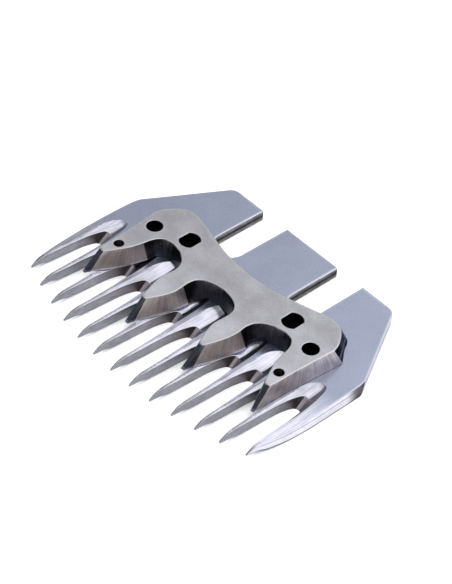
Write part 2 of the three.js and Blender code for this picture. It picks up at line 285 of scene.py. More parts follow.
class Skin:
    """A blade's closed surface, made of the walls of its loops and of two surfaces."""

    def __init__(self, thick, top, under, edge_width, polish=None):
        self.thick = thick
        self.polish = polish  # how polished the surface is at given x and y
        self.top = top  # heights of the two surfaces at given x and y
        self.under = under
        self.edge_width = edge_width  # width of the rounded edges at given x and y
        self.points = []
        self.faces = []
        self.zones = []
        self.wall = []  # per point: run along the wall, share up it, wear
        self.shade = []  # per point: how much painted shade it takes
        self.surface_faces = {}  # face number: +1 on the top, -1 underneath
        self.sharp = set()

    def add_points(self, xyz, run, rise, wear, shade=0):
        start = len(self.points)
        self.points.extend(xyz)
        self.shade.extend(np.broadcast_to(shade, len(xyz)))
        self.wall.extend(zip(np.broadcast_to(run, len(xyz)), np.broadcast_to(rise, len(xyz)),
                             np.broadcast_to(wear, len(xyz))))
        return start + np.arange(len(xyz))

    def meeting(self, loop, surface, from_top):
        """The share of the height at which each wall of the loop meets a surface."""
        low, high = np.zeros(len(loop.top)), np.ones(len(loop.top))
        for _ in range(HALVINGS):
            middle = (low + high) / 2
            place = loop.at(middle)
            above = middle * self.thick > surface(place[:, 0], place[:, 1])
            low, high = np.where(above, low, middle), np.where(above, middle, high)
        return high if from_top else low

    def add_loop(self, loop, floor=None):
        """Adds the walls of a loop with their rounded edges. Returns its rims on both surfaces and
        the way into the material. A blind hole has a floor, the height at which its walls end."""
        share_top = self.meeting(loop, self.top, True)
        if floor is None:
            share_under = self.meeting(loop, self.under, False)
        else:
            share_under = np.full(len(loop.top), floor / self.thick)
        height = (share_top - share_under) * self.thick
        rim = loop.at(share_top)
        ahead = np.roll(rim, -1, axis=0) - rim
        run = np.concatenate([[0], np.cumsum(np.linalg.norm(ahead, axis=1))[:-1]])
        along = np.roll(rim, -1, axis=0) - np.roll(rim, 1, axis=0)
        along /= np.linalg.norm(along, axis=1)[:, None]
        inward = np.stack([-along[:, 1], along[:, 0]], axis=1)
        width = self.edge_width(rim[:, 0], rim[:, 1])
        drop = np.minimum(width, height * EDGE_SHARE) / self.thick
        rows = []

        def edge(share, surface, sign):
            corner = loop.at(share)
            wall = loop.at(share - sign * drop)
            inner = corner + inward * width[:, None]
            wall3 = np.column_stack([wall, (share - sign * drop) * self.thick])
            corner3 = np.column_stack([corner, share * self.thick])
            inner3 = np.column_stack([inner, surface(inner[:, 0], inner[:, 1])])
            return [
                wall3 * (1 - t) ** 2 + corner3 * 2 * t * (1 - t) + inner3 * t * t
                for t in np.linspace(0, 1, ROUND_ROWS + 1)
            ]

        upper = edge(share_top, self.top, 1)
        if floor is None:
            for xyz in reversed(edge(share_under, self.under, -1)):
                rows.append(self.add_points(xyz, run, 0, 0, loop.shade))
        else:
            low = np.column_stack([loop.at(share_under), share_under * self.thick])
            rows.append(self.add_points(low, run, 0, 0, loop.shade))
        for k in range(1, WALL_ROWS):
            share = share_under + drop + (share_top - share_under - 2 * drop) * k / WALL_ROWS
            xy = loop.at(share)
            xyz = np.column_stack([xy, share * self.thick])
            rows.append(self.add_points(xyz, run, k / WALL_ROWS, 0, loop.shade))
        for xyz in upper:
            rows.append(self.add_points(xyz, run, 1, 1, loop.shade))
        count = len(loop.top)
        last = len(rows) - 1
        for i in range(count):
            j = (i + 1) % count
            for r in range(last):
                self.faces.append((rows[r][i], rows[r][j], rows[r + 1][j], rows[r + 1][i]))
                self.zones.append("edge" if r >= last - ROUND_ROWS else loop.zones[i])
            if loop.zones[i] != loop.zones[i - 1]:
                self.sharp.update((rows[r][i], rows[r + 1][i]) for r in range(last))
        return rows[0], rows[-1], inward

    def add_surface(self, rims, inwards, side, zone_at, extra=()):
        """Fills a surface between its rims, through extra points inside it."""
        surface = self.top if side > 0 else self.under
        xyz = np.array(self.points)
        numbers = np.concatenate(rims)
        plan = xyz[numbers][:, :2]
        edges, start = [], 0
        for rim in rims:
            count = len(rim)
            edges.extend((start + i, start + (i + 1) % count) for i in range(count))
            start += count
        rim_tree = tree_of(plan)
        starts = plan[[a for a, _ in edges]]
        ends = plan[[b for _, b in edges]]

        def within(points, room):
            """The points inside the surface that keep their distance from its rims."""
            points = points[inside(points, starts, ends)]
            return points[far_from(rim_tree, points, room)]

        added = within(plan + np.concatenate(inwards) * HALO, RING_ROOM)
        if len(extra):
            bulk = within(extra, BULK_ROOM)
            added = np.concatenate([added[far_from(tree_of(bulk), added, RING_GAP)], bulk])
        heights = surface(added[:, 0], added[:, 1])
        new = self.add_points(np.column_stack([added, heights]), 0, (side + 1) / 2, 0)
        numbers = np.concatenate([numbers, new])
        plan = np.concatenate([plan, added])
        made = delaunay_2d_cdt([Vector(p) for p in plan], edges, [], 0, SAME_POINT)
        source = [o[0] for o in made[3]]
        triangles = np.array([[source[i] for i in face] for face in made[2]])
        middles = plan[triangles].mean(axis=1)
        triangles = triangles[inside(middles, starts, ends)]
        a, b, c = (plan[triangles[:, k]] for k in range(3))
        area = (b[:, 0] - a[:, 0]) * (c[:, 1] - a[:, 1]) - (b[:, 1] - a[:, 1]) * (c[:, 0] - a[:, 0])
        real = np.abs(area) > LEAST_AREA
        triangles = triangles[real]
        flip = area[real] * side < 0
        triangles[flip] = triangles[flip][:, ::-1]
        middles = plan[triangles].mean(axis=1)
        for triangle, name in zip(triangles, zone_at(middles[:, 0], middles[:, 1])):
            self.surface_faces[len(self.faces)] = side
            self.faces.append(tuple(numbers[k] for k in triangle))
            self.zones.append(name)

    def build(self, name, place, finishes):
        """Makes the object. place turns skin coordinates into the frame's, in metres."""
        mesh = bpy.data.meshes.new(name)
        points = np.array(self.points)
        mesh.from_pydata(place(points).tolist(), [], [tuple(int(i) for i in f) for f in self.faces])
        names = list(dict.fromkeys(self.zones))
        for zone in names:
            mesh.materials.append(finishes[zone])
        index = {zone: i for i, zone in enumerate(names)}
        mesh.polygons.foreach_set("material_index", [index[z] for z in self.zones])
        mesh.polygons.foreach_set("use_smooth", [True] * len(self.faces))
        wall = mesh.attributes.new("wall", "FLOAT_VECTOR", "POINT")
        wall.data.foreach_set("vector", np.array(self.wall, np.float32).ravel())
        shade = mesh.attributes.new("shade", "FLOAT", "POINT")
        shade.data.foreach_set("value", np.array(self.shade, np.float32))
        if self.polish is not None:
            polish = mesh.attributes.new("polish", "FLOAT", "POINT")
            x, y = np.array(self.points)[:, :2].T
            polish.data.foreach_set("value", self.polish(x, y).astype(np.float32))
        mesh.update()
        mesh.set_sharp_from_angle(angle=SHARP_ANGLE)
        sharp = mesh.attributes["sharp_edge"].data
        marked = {tuple(sorted((int(a), int(b)))) for a, b in self.sharp}
        for edge in mesh.edges:
            if tuple(sorted(edge.vertices)) in marked:
                sharp[edge.index].value = True
        mesh.normals_split_custom_set(self.loop_normals(mesh, points, place))
        obj = bpy.data.objects.new(name, mesh)
        bpy.context.scene.collection.objects.link(obj)
        return obj

    def loop_normals(self, mesh, points, place):
        """Exact normals on the two surfaces, and none, so Blender's own, on the walls."""
        normals = np.zeros((len(mesh.loops), 3))
        turn = place(np.eye(3)) - place(np.zeros((3, 3)))
        step = SLOPE_STEP
        for side, surface in ((1, self.top), (-1, self.under)):
            faces = [n for n, s in self.surface_faces.items() if s == side]
            corners = np.array([self.faces[n] for n in faces])
            xy = points[corners][:, :, :2]
            xy = xy + (xy.mean(axis=1, keepdims=True) - xy) * SAMPLE_PULL
            x, y = xy[..., 0].ravel(), xy[..., 1].ravel()
            across = (surface(x + step, y) - surface(x - step, y)) / (2 * step)
            ahead = (surface(x, y + step) - surface(x, y - step)) / (2 * step)
            n = np.column_stack([-across, -ahead, np.ones(len(x))]) * side
            n /= np.linalg.norm(n, axis=1)[:, None]
            n = n @ (turn * MM)
            starts = np.array([mesh.polygons[f].loop_start for f in faces])
            normals[(starts[:, None] + np.arange(3)).ravel()] = n
        return normals.tolist()


def tree_of(points):
    """A search tree of points in plan."""
    tree = KDTree(len(points))
    for i, p in enumerate(points):
        tree.insert((p[0], p[1], 0), i)
    tree.balance()
    return tree


def far_from(tree, points, room):
    """Which points lie farther than room from all those in the tree."""
    return np.array([tree.find((p[0], p[1], 0))[2] > room for p in points], bool)


def inside(points, starts, ends):
    """Whether each point lies inside the closed outlines made of the given edges."""
    out = np.zeros(len(points), bool)
    (ax, ay), (bx, by) = starts.T, ends.T
    rise = np.where(by == ay, 1, by - ay)
    for i in range(0, len(points), BATCH):
        x, y = points[i:i + BATCH, 0, None], points[i:i + BATCH, 1, None]
        crossing = (ay > y) != (by > y)
        out[i:i + BATCH] = (crossing & (x < (bx - ax) * (y - ay) / rise + ax)).sum(axis=1) % 2 == 1
    return out


# ---- The comb's shape ----


def tooth_x(tooth):
    """The middle of a tooth, counted from the left. A gap's middle is half a pitch further."""
    return (tooth - (TEETH - 1) / 2) * PITCH


def behind_tip(x, y):
    """How far a point lies behind the tip of its tooth."""
    tooth = np.clip(np.round(x / PITCH + (TEETH - 1) / 2), 0, TEETH - 1)
    return y - set_back(POST_Y, tooth_x(tooth))


def scoop_edges(middle, ahead):
    """The sides of the scoop behind the gap with this middle, at places ahead of its end."""
    left = eased(SCOOP_LEFT, ahead)
    right = eased(SCOOP_RIGHT, ahead) * (1 + SCOOP_SPREAD * (middle / tooth_x(TEETH - 1)) ** 2)
    return left, right


def scoop_drop(x, y):
    """How far the scoops lower the top face."""
    drop = np.zeros(np.shape(x))
    ahead = SCOOP_END_Y - y
    for gap in range(TEETH - 1):
        middle = tooth_x(gap) + PITCH / 2
        at = x - middle
        left, right = scoop_edges(middle, ahead)
        within = (ahead > 0) & (at > left) & (at < right)
        start = np.sqrt(np.clip((ahead + SCOOP_LIP) / SCOOP_RUNOUT, 0, 1))
        fade = np.clip((y - set_back(POST_Y, middle) - SCOOP_FRONT) / SCOOP_FADE, 0, 1)
        depth = SCOOP_SLOPE * (SCOOP_VALLEY - left) * start * fade
        bank = eased(SCOOP_BANK, (at - left) / (SCOOP_VALLEY - left))
        wall = eased(SCOOP_WALL, (at - SCOOP_VALLEY) / np.maximum(right - SCOOP_VALLEY, LEAST_WALL))
        own = depth * np.where(at < SCOOP_VALLEY, bank, wall)
        drop = np.where(within, np.maximum(drop, own), drop)
    return drop


def comb_top(x, y):
    """Height of the comb's top face."""
    outer = np.clip(np.abs(x) - CROWN_X, 0, None)
    crown = CROWN_SLOPE * outer * np.clip((CROWN_BACK - y) / (CROWN_BACK - CROWN_FRONT), 0, 1)
    return np.minimum(COMB_THICK - scoop_drop(x, y) - crown, eased(TIP_TOP, behind_tip(x, y)) - crown)


def comb_under(x, y):
    """Height of its underside, which is flat behind the tips."""
    return eased(TIP_UNDER, behind_tip(x, y))


def comb_edge_width(x, y):
    """Width of its rounded edges: fine at a tooth's tip, and broad on the tail."""
    width = COMB_EDGE + (TAIL_EDGE - COMB_EDGE) * ramp(y, *TAIL_EDGE_Y)
    return width * np.clip(TIP_EDGE_SHARE + behind_tip(x, y) / EDGE_GROWTH, TIP_EDGE_SHARE, 1)


def gap_side(tip_y, table, root, share):
    """One side of a gap, from its closed end to the tooth's tip: (ahead, half) at given shares."""
    number = np.arange(len(table))
    ahead_table = [(n, row[0]) for n, row in zip(number, table)]
    half_table = [(n, row[1]) for n, row in zip(number, table)]
    low, high = 0.0, float(number[-1])
    for _ in range(HALVINGS):
        last = (low + high) / 2
        if root - eased(ahead_table, last) > tip_y:
            low = last
        else:
            high = last
    ahead = eased(ahead_table, share * last)
    return root - ahead, eased(half_table, share * last)


def gap_path(gap):
    """Both edges of a gap's walls, from the left tooth's tip round to the right tooth's."""
    middle = tooth_x(gap) + PITCH / 2
    share = np.linspace(0, 1, GAP_STEPS) ** GAP_CROWDING
    paths = []
    for table, root in (
        (GAP_UNDER, ROOT_UNDER_Y + set_back(ROOT_UNDER_RADIUS, middle)),
        (GAP_TOP, ROOT_TOP_Y + set_back(ROOT_TOP_RADIUS, middle)),
    ):
        y_left, half_left = gap_side(set_back(POST_Y, tooth_x(gap)), table, root, share)
        y_right, half_right = gap_side(set_back(POST_Y, tooth_x(gap + 1)), table, root, share)
        left = np.column_stack([middle - half_left, y_left])[::-1]
        right = np.column_stack([middle + half_right, y_right])
        paths.append(list(left[:-1]) + list(right))
    return paths


def comb_loop():
    """The comb's whole edge, counterclockwise from the tip of its leftmost tooth."""
    under, top, zones, flank, shade = [], [], [], [], []
    for gap in range(TEETH - 1):
        lower, upper = gap_path(gap)
        under += lower
        top += upper
        middle, end = tooth_x(gap) + PITCH / 2, max(p[1] for p in upper)
        beyond = [p[0] > middle - END_WALL[0] and p[1] > end - END_WALL[1] for p in upper[:-1]]
        zones += ["end_wall" if hit else "tooth_wall" for hit in beyond] + ["tip"]
        flank += [0] * len(lower)
        # painted shade on a gap's walls, strongest at its closed end
        shade += [max(0, 1 - (end - p[1]) / SHADE_LENGTH) for p in upper]
    side_y = np.concatenate([
        np.linspace(FLANK[0][0], FLANK_TURN_Y, FLANK_TIP_STEPS)[:-1],
        np.linspace(FLANK_TURN_Y, FLANK[-1][0], FLANK_STEPS),
    ])
    side_under = np.column_stack([eased([(y, x) for y, x, _ in FLANK], side_y), side_y])
    side_top = np.column_stack([eased([(y, x) for y, _, x in FLANK], side_y), side_y])
    shoulder, tail = (COMB_HALF, SHOULDER_Y), (TAIL_HALF, COMB_LENGTH)
    slot_right, slot_left = SLOT_X + SLOT_HALF, SLOT_X - SLOT_HALF
    tail_corner = rounded(tail, TAIL_RADIUS, shoulder, (0, COMB_LENGTH))
    slot = (
        straight((slot_right, COMB_LENGTH), (slot_right, SLOT_CENTRE_Y), SLOT_STEPS)[:-1]
        + arc(SLOT_X, SLOT_CENTRE_Y, SLOT_HALF, 0, -180, SLOT_ARC_STEPS)
        + straight((slot_left, SLOT_CENTRE_Y), (slot_left, COMB_LENGTH), SLOT_STEPS)[1:-1]
    )
    rear = straight((slot_left, COMB_LENGTH), (0, COMB_LENGTH), REAR_STEPS)
    right_under = list(side_under) + tail_corner + slot + rear
    right_top = list(side_top) + tail_corner + slot + rear
    right_zones = (
        ["flank"] * (len(side_y) - 1) + ["side"] * (1 + len(tail_corner))
        + ["slot"] * len(slot) + ["side"] * len(rear)
    )
    right_flank = [1] * len(side_y) + [0] * (len(right_top) - len(side_y))
    # painted shade on the flank where it turns in at the shoulder
    right_shade = [*ramp(side_y, *SHOULDER_SHADE)] + [0] * (len(right_top) - len(side_y))
    under += right_under + mirrored(right_under[:-1])
    top += right_top + mirrored(right_top[:-1])
    zones += right_zones[:-1] + right_zones[-2::-1] + ["tip"]
    flank += right_flank + right_flank[-2::-1]
    shade += right_shade + right_shade[-2::-1]
    return Loop(under, top, zones, flank, shade)


def comb_extra():
    """Points along the scoops and on the tips, so that the top face follows them."""
    points = []
    for gap in range(TEETH - 1):
        middle = tooth_x(gap) + PITCH / 2
        longest = SCOOP_END_Y - set_back(POST_Y, middle)
        ahead = np.concatenate([END_AHEAD, np.arange(FIRST_AHEAD, longest, AHEAD_STEP)])
        left, right = scoop_edges(middle, ahead)
        y = SCOOP_END_Y - ahead
        for share in BANK_SHARES:
            points.append(np.column_stack([middle + left + (SCOOP_VALLEY - left) * share, y]))
        for share in WALL_SHARES:
            points.append(np.column_stack([middle + SCOOP_VALLEY + (right - SCOOP_VALLEY) * share, y]))
    for tooth in range(TEETH):
        y = set_back(POST_Y, tooth_x(tooth)) + np.array(TIP_BEHIND)
        for across in TIP_ACROSS:
            points.append(np.column_stack([np.full(len(y), tooth_x(tooth) + across), y]))
    points = np.concatenate(points)
    tree = tree_of(points)
    kept, gone = [], set()
    for i, p in enumerate(points):
        if i not in gone:
            kept.append(i)
            gone.update(n for _, n, _ in tree.find_range((p[0], p[1], 0), LEAST_SPACING) if n > i)
    return points[kept]


def comb_polish(x, y):
    """How polished the top face is: 0 on the plate and 1 on the teeth."""
    beside = ramp(np.abs(x), *SIDE_POLISH) * ramp(-y, *SIDE_POLISH_Y)
    return np.maximum(ramp(-y, *TEETH_POLISH), beside)


def comb_zone(x, y):
    """The finish of the top face at given places."""
    cut = scoop_drop(x, y) > LEAST_DROP
    middle = (np.round(np.asarray(x) / PITCH - 0.5) + 0.5) * PITCH
    # the scoop's short wall takes a darker finish: painted shade
    scoop = np.where(x - middle > SCOOP_VALLEY + VALLEY_HALF, "scoop_wall", "scoop")
    return np.where(cut, scoop, np.where(behind_tip(x, y) < TIP_LENGTH, "tip", "plate"))


def make_comb(finishes):
    skin = Skin(COMB_THICK, comb_top, comb_under, comb_edge_width, comb_polish)
    under, top, inward = skin.add_loop(comb_loop())
    skin.add_surface([top], [inward], 1, comb_zone, comb_extra())
    skin.add_surface([under], [inward], -1, everywhere("underside"))
    return skin.build("comb_blade", lambda p: (p - (0, ORIGIN_Y, 0)) / MM, finishes)


# ---- The cutter's shape ----


def cutter_half(is_top):
    """Right half of the cutter's edge, from the middle gullet to the middle of the back, as
    (finish, points) stretches, on the ground underside or on the top face."""

    def at(under, top):
        return top if is_top else under

    return [
        ("black", bent(at(
            [(0, 32), (2, 31.85), (3.8, 30.9), (5, 29.5), (5.25, 28.1)],
            [(0, 32.74), (2.85, 32.3), (5.1, 31.3), (6.5, 29.7), (6.87, 27.9)],
        ))),
        ("ground", bent(at(
            [(5.12, 26.7), (5.4, 24), (6.7, 18.8), (8.6, 13.4)],
            [(6.8, 26.2), (6.65, 23.3), (7.5, 20.3), (8.8, 17.5)],
        ), per_span=10)),
        ("facet", at(
            [(8.7, 13.1), (9.2, 11.35), (10.15, 11.45)],
            [(9.1, 17), (9.3, 16.7), (10.3, 16.8)],
        )),
        ("ground", bent(at(
            [(10.8, 13.6), (12.6, 19.5), (13.4, 23.5), (14.05, 26.1)],
            [(10.6, 17.4), (11.9, 21.6), (12.4, 24.6), (12.35, 26)],
        ), per_span=10)),
        ("black", bent(at(
            [(14.02, 27.1), (13.7, 28.3), (13.75, 30.3), (15, 31.85), (17.2, 32.9)],
            [(12.3, 26.5), (12.15, 28.4), (12.6, 30.4), (13.9, 32.1), (16.1, 33.5)],
        ))),
        ("black", bent(at(
            [(19.3, 33.3), (21, 33.1), (22.1, 32), (22.4, 30.4)],
            [(18.9, 34.1), (21.2, 33.75), (22.7, 32.4), (23.45, 30.6)],
        ))),
        ("ground", bent(at(
            [(22.5, 29.2), (23.6, 25.3), (24.9, 22), (27.6, 16.6)],
            [(23.75, 28.8), (24.4, 26), (25.2, 24), (26.9, 20.5)],
        ), per_span=10)),
        ("facet", at(
            [(27.95, 15.9), (28.6, 14.6), (29.35, 14.75)],
            [(27.5, 19.7), (27.7, 19.5), (28.9, 19.8)],
        )),
        ("outer", bent(at(
            [(29.37, 15.3), (29.5, 19), (30.3, 28.8), (31.45, 40.6)],
            [(28.93, 20.1), (29.2, 22.4), (29.6, 29.6), (30.35, 38.1)],
        ), per_span=12)),
        ("corner", bent(at(
            [(31.4, 41), (29.8, 43), (28.45, 44.8), (27.5, 46.5), (26.4, 47.4), (24.4, 47.3)],
            [(30.4, 38.5), (29.75, 40.6), (28.6, 42.4), (27.1, 44.1), (25.2, 45.2), (23, 45.35)],
        ))),
        ("black", bent(at(
            [(21.5, 46.5), (9, 43.2), (0, 42.3)],
            [(20.5, 44.9), (9, 41.7), (0, 40.8)],
        ), per_span=10)),
    ]


def cutter_loop():
    """The cutter's whole edge, counterclockwise from the middle of its front."""
    under, top, zones = [], [], []
    for (zone, lower), (_, upper) in zip(cutter_half(False), cutter_half(True)):
        under += list(lower)
        top += list(upper)
        zones += [zone] * len(lower)
    under += mirrored(under[:-1])[:-1]
    top += mirrored(top[:-1])[:-1]
    zones = zones[:-1] + zones[-2::-1]
    return Loop(under, top, zones)


def round_hole(x, y, radius, finish="hole", steps=48):
    """The edge of a round hole, clockwise so that the material is on its left."""
    path = arc(x, y, radius, 360, 0, steps)[:-1]
    return Loop(path, path, [finish] * len(path))


def flatted_hole(x, y, radius):
    """The edge of a hole with a flat to its left and one to its right, and rounds between them."""
    turn = math.degrees(math.acos(FLATTED_HOLE_HALF / radius))
    path = arc(x, y, radius, 180 - turn, turn) + arc(x, y, radius, -turn, turn - 180)
    return Loop(path, path, ["hole"] * len(path))


def cutter_polish(x, y):
    """How bright the top is: 0 on the middle and 1 on the points."""
    return ramp(-y, *POINTS_POLISH)


def make_cutter(finishes):
    top, under, edge_width = everywhere(CUTTER_THICK), everywhere(0.0), everywhere(CUTTER_EDGE)
    skin = Skin(CUTTER_THICK, top, under, edge_width, cutter_polish)
    through = [cutter_loop()]
    blind = []
    for side in (-1, 1):
        through.append(round_hole(side * HOLE[0], *HOLE[1:]))
        through.append(flatted_hole(side * FLATTED_HOLE[0], *FLATTED_HOLE[1:]))
        blind.append(round_hole(side * BLIND_HOLE[0], *BLIND_HOLE[1:], "pit"))
    open_rims = [skin.add_loop(loop) for loop in through]
    floor = CUTTER_THICK - BLIND_HOLE_DEPTH
    blind_rims = [skin.add_loop(loop, floor) for loop in blind]
    for (low, _, _), loop in zip(blind_rims, blind):
        drill_point = [[*loop.top.mean(axis=0), floor - DRILL_POINT]]
        tip = skin.add_points(drill_point, 0, 0, 0)[0]
        for i, number in enumerate(low):
            skin.faces.append((number, tip, low[(i + 1) % len(low)]))
            skin.zones.append("pit")
    all_rims = open_rims + blind_rims
    skin.add_surface([r[1] for r in all_rims], [r[2] for r in all_rims], 1, everywhere("face"))
    skin.add_surface([r[0] for r in open_rims], [r[2] for r in open_rims], -1, everywhere("underside"))

    def place(p):
        """Turned about the post by the swing at rest, and up onto the comb."""
        c, s = math.cos(REST_SWING), math.sin(REST_SWING)
        x, y = p[:, 0], p[:, 1] - POST_Y
        across, along = x * c - y * s, x * s + y * c + POST_Y - ORIGIN_Y
        return np.column_stack([across, along, p[:, 2] + CUTTER_BASE]) / MM

    return skin.build("cutter_blade", place, finishes)


# ---- Finishes ----

# Tints of the steel: (red, green, blue).
COOL = (0.93, 1, 1.28)
LAVENDER = (0.98, 0.965, 1.1)
PURPLE = (1, 0.88, 0.98)
WARM = (1, 0.985, 1.05)
BROWN = (1.12, 0.98, 0.93)
MAUVE = (1.07, 0.97, 0.99)

ALONG_TEETH = (2.4, 0.12, 1)  # stretch of a grain that runs along the teeth
CONTRAST = (0.38, 0.62)  # the noise's range that is spread from a finish's low to its high level
WALL_CONTRAST = (0.36, 0.64)
VARIATION = (0.3, 0.7)  # and the range that is spread over its roughness or its dullness
FINENESS = 3  # how much finer the fine grain is
BLOTCHES, WALL_BLOTCHES = 0.16, 0.35  # soft blotches for each millimetre
BLOTCH_SHARE, WALL_BLOTCH_SHARE = 0.45, 0.3  # how much they count beside the grain
STREAKS = 1.2  # streaks on polished steel for each millimetre
WEAR = 0.7  # how far a worn edge turns to its worn level
REFLECTION_DEPTH, REFLECTION_CORE = 0.8, 0.5  # how far a painted line of reflection turns to its colour, in this share of it
FOOT_FADE = (0.7, 1.3)  # the shares of a foot's height between which it fades
# painted shade: the grazing reflection it leaves, and the range its strength varies over
SHADE_GLANCE = 0.4
SHADE_SPREAD = (0.75, 1.1)
ROUGHNESS_SPREAD = (0.8, 1.2)  # least and greatest roughness, as shares of the middle one
BUMP, WALL_BUMP = 0.02, 0.03  # heights of the grain


def grey(level, tint=(1, 1, 1)):
    """The colour of a level of grey, or of a tinted one."""
    return (level * tint[0], level * tint[1], level * tint[2], 1)


class Finish:
    """A material and a short way to add nodes to it."""

    def __init__(self, name):
        self.material = bpy.data.materials.new(name)
        self.material.use_nodes = True
        self.nodes = self.material.node_tree.nodes
        self.links = self.material.node_tree.links
        self.shader = self.nodes["Principled BSDF"]
        self.place = self.nodes.new("ShaderNodeTexCoord").outputs["Object"]
        self.wall = self.attribute("wall").outputs["Vector"]
        parts = self.node("ShaderNodeSeparateXYZ", Vector=self.wall).outputs
        self.rise, self.wear = parts["Y"], parts["Z"]

    def feed(self, socket, value):
        """Links a node's output to an input, or sets the input to a value."""
        if isinstance(value, bpy.types.NodeSocket):
            self.links.new(value, socket)
        else:
            socket.default_value = value

    def node(self, kind, settings=None, **inputs):
        made = self.nodes.new(kind)
        for key, value in (settings or {}).items():
            setattr(made, key, value)
        for key, value in inputs.items():
            self.feed(made.inputs[key.replace("_", " ")], value)
        return made

    def attribute(self, name):
        """What the mesh says at each of its points under a name."""
        return self.node("ShaderNodeAttribute", {"attribute_name": name})

    def noise(self, scale, detail=4, roughness=0.5, stretch=(1, 1, 1), of=None):
        """Noise with features about 1 / scale millimetres long, or 1 / scale of another vector."""
        source = self.place if of is None else of
        unit = MM if of is None else 1
        mapping = self.node("ShaderNodeMapping", Vector=source, Scale=[unit * s for s in stretch])
        made = self.node("ShaderNodeTexNoise", Vector=mapping.outputs["Vector"], Scale=scale,
                         Detail=detail, Roughness=roughness)
        return made.outputs["Fac"]

    def spread(self, value, low, high, to_low, to_high):
        """A value's range from low to high, spread from to_low to to_high."""
        made = self.node("ShaderNodeMapRange", Value=value, From_Min=low, From_Max=high,
                         To_Min=to_low, To_Max=to_high)
        return made.outputs["Result"]

    def blend(self, share, first, second):
        made = self.node("ShaderNodeMix", {"data_type": "RGBA"})
        for socket, value in ((0, share), (6, first), (7, second)):
            self.feed(made.inputs[socket], value)
        return made.outputs[2]

    def math(self, operation, first, second):
        made = self.node("ShaderNodeMath", {"operation": operation})
        self.feed(made.inputs[0], first)
        self.feed(made.inputs[1], second)
        return made.outputs["Value"]

    def mixed(self, first, second, share):
        """Two noises together, with the given share of the first."""
        first_part = self.math("MULTIPLY", first, share)
        second_part = self.math("MULTIPLY", second, 1 - share)
        return self.math("ADD", first_part, second_part)

    def roughen(self, grain, middle):
        """Gives the steel a roughness that varies with its grain."""
        low, high = (middle * share for share in ROUGHNESS_SPREAD)
        self.set(Roughness=self.spread(grain, *VARIATION, low, high))

    def bump(self, height, strength, distance):
        made = self.node("ShaderNodeBump", Height=height, Strength=strength, Distance=distance / MM)
        self.links.new(made.outputs["Normal"], self.shader.inputs["Normal"])

    def set(self, **values):
        for key, value in values.items():
            self.feed(self.shader.inputs[key.replace("_", " ")], value)


def steel(name, low, high, tint, roughness, stretch=(1, 1, 1), scale=5, strength=0.2, worn=None,
          polished=None):
    """Steel on a face: soft blotches, a grain of the given scale and stretch, and, where asked
    for, worn edges of a lighter level. polished is the (low, high, tint, streaked) of the places
    that are polished."""
    finish = Finish(name)
    blotch = finish.noise(BLOTCHES, detail=3)
    grain = finish.noise(scale, roughness=0.65, stretch=stretch)
    fine = finish.noise(scale * FINENESS, detail=2, roughness=0.7)
    share = finish.spread(finish.mixed(blotch, grain, BLOTCH_SHARE), *CONTRAST, 0, 1)
    colour = finish.blend(share, grey(low, tint), grey(high, tint))
    if polished:
        dark, light, polish_tint, streaked = polished
        if streaked:
            streaks = finish.noise(STREAKS, roughness=0.65, stretch=ALONG_TEETH)
            share = finish.spread(streaks, *CONTRAST, 0, 1)
        bright = finish.blend(share, grey(dark, polish_tint), grey(light, polish_tint))
        colour = finish.blend(finish.attribute("polish").outputs["Fac"], colour, bright)
    if worn:
        colour = finish.blend(finish.math("MULTIPLY", finish.wear, WEAR), colour, grey(worn, tint))
    finish.set(Base_Color=colour, Metallic=1)
    finish.roughen(grain, roughness)
    finish.bump(finish.math("ADD", grain, fine), strength, BUMP)
    return finish.material


def wall_steel(name, low, high, tint, roughness, lines, painted_shade=None, foot=None, painted_reflection=None, glance=1,
               strength=0.3):
    """Steel on a wall. lines is how many there are for each millimetre along it and over its
    height; its painted shade is the colour it turns to where the shade attribute is high, as at
    a gap's closed end; foot is the (height, colour) of a band at the wall's lower edge; its
    painted reflection is the (height, half width, colour) of a painted line along it; glance is
    how much it reflects when seen along its surface."""
    finish = Finish(name)
    grain = finish.noise(1, roughness=0.7, stretch=(*lines, 0), of=finish.wall)
    blotch = finish.noise(WALL_BLOTCHES, detail=3)
    share = finish.spread(finish.mixed(blotch, grain, WALL_BLOTCH_SHARE), *WALL_CONTRAST, 0, 1)
    colour = finish.blend(share, grey(low, tint), grey(high, tint))
    # a painted line of reflection at one height along the wall
    if painted_reflection:
        height, half, reflection_colour = painted_reflection
        away = finish.math("ABSOLUTE", finish.math("SUBTRACT", finish.rise, height), 0)
        line = finish.spread(away, half * REFLECTION_CORE, half, REFLECTION_DEPTH, 0)
        colour = finish.blend(line, colour, reflection_colour)
    tinge = grey(glance)
    # painted shade: a dark colour and a weaker grazing reflection where the shade attribute is high
    if painted_shade:
        uneven = finish.spread(blotch, *VARIATION, *SHADE_SPREAD)
        painted_shade_share = finish.math("MULTIPLY", finish.attribute("shade").outputs["Fac"], uneven)
        colour = finish.blend(painted_shade_share, colour, painted_shade)
        tinge = finish.blend(painted_shade_share, tinge, grey(SHADE_GLANCE))
    if foot:
        height, foot_colour = foot
        band = finish.spread(finish.rise, *(height * share for share in FOOT_FADE), 1, 0)
        colour = finish.blend(band, colour, foot_colour)
    finish.set(Base_Color=colour, Specular_Tint=tinge, Metallic=1)
    finish.roughen(grain, roughness)
    finish.bump(grain, strength, WALL_BUMP)
    return finish.material


